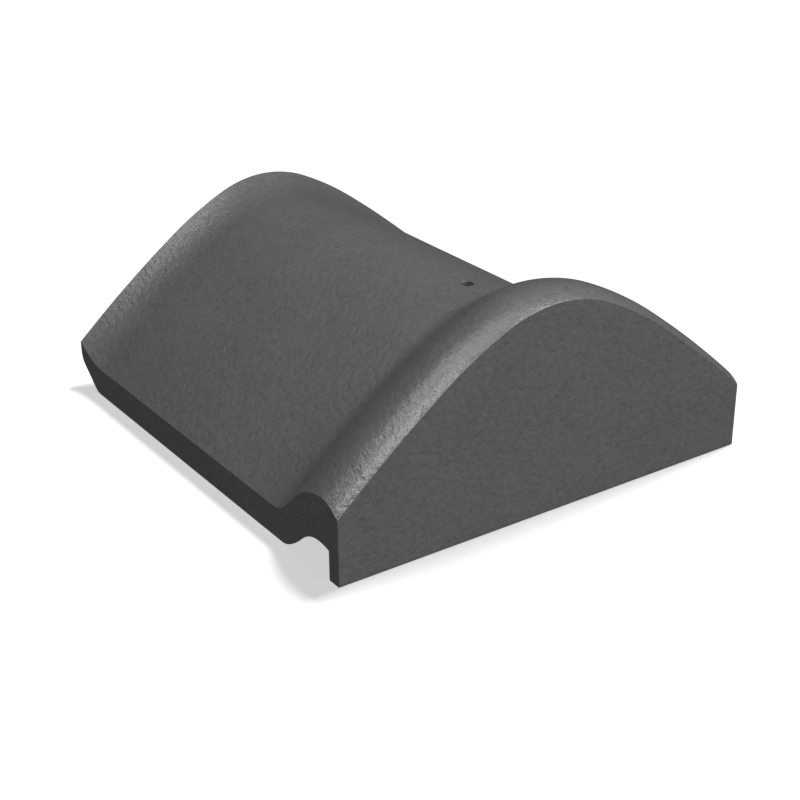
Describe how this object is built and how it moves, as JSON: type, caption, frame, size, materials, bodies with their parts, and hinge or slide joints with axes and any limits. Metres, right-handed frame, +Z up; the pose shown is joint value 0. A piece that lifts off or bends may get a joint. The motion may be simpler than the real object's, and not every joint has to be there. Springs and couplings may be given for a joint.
{
  "type": "ridge end tile",
  "caption": "Arched concrete ridge tile with a flat closed end, a raised collar, a flared open tail and a nail hole in the crown.",
  "frame": {"origin": "under the middle of the tile, at the level of its long lower edges", "axes": "+X along the ridge towards the closed end plate, +Y across the roof, +Z up out of the crown"},
  "size_m": [0.275, 0.25, 0.1153],
  "materials": {
    "concrete": "matte, fine sand grain"
  },
  "bodies": {
    "root": {"ridge_end_tile": "concrete"}
  },
  "joints": []
}
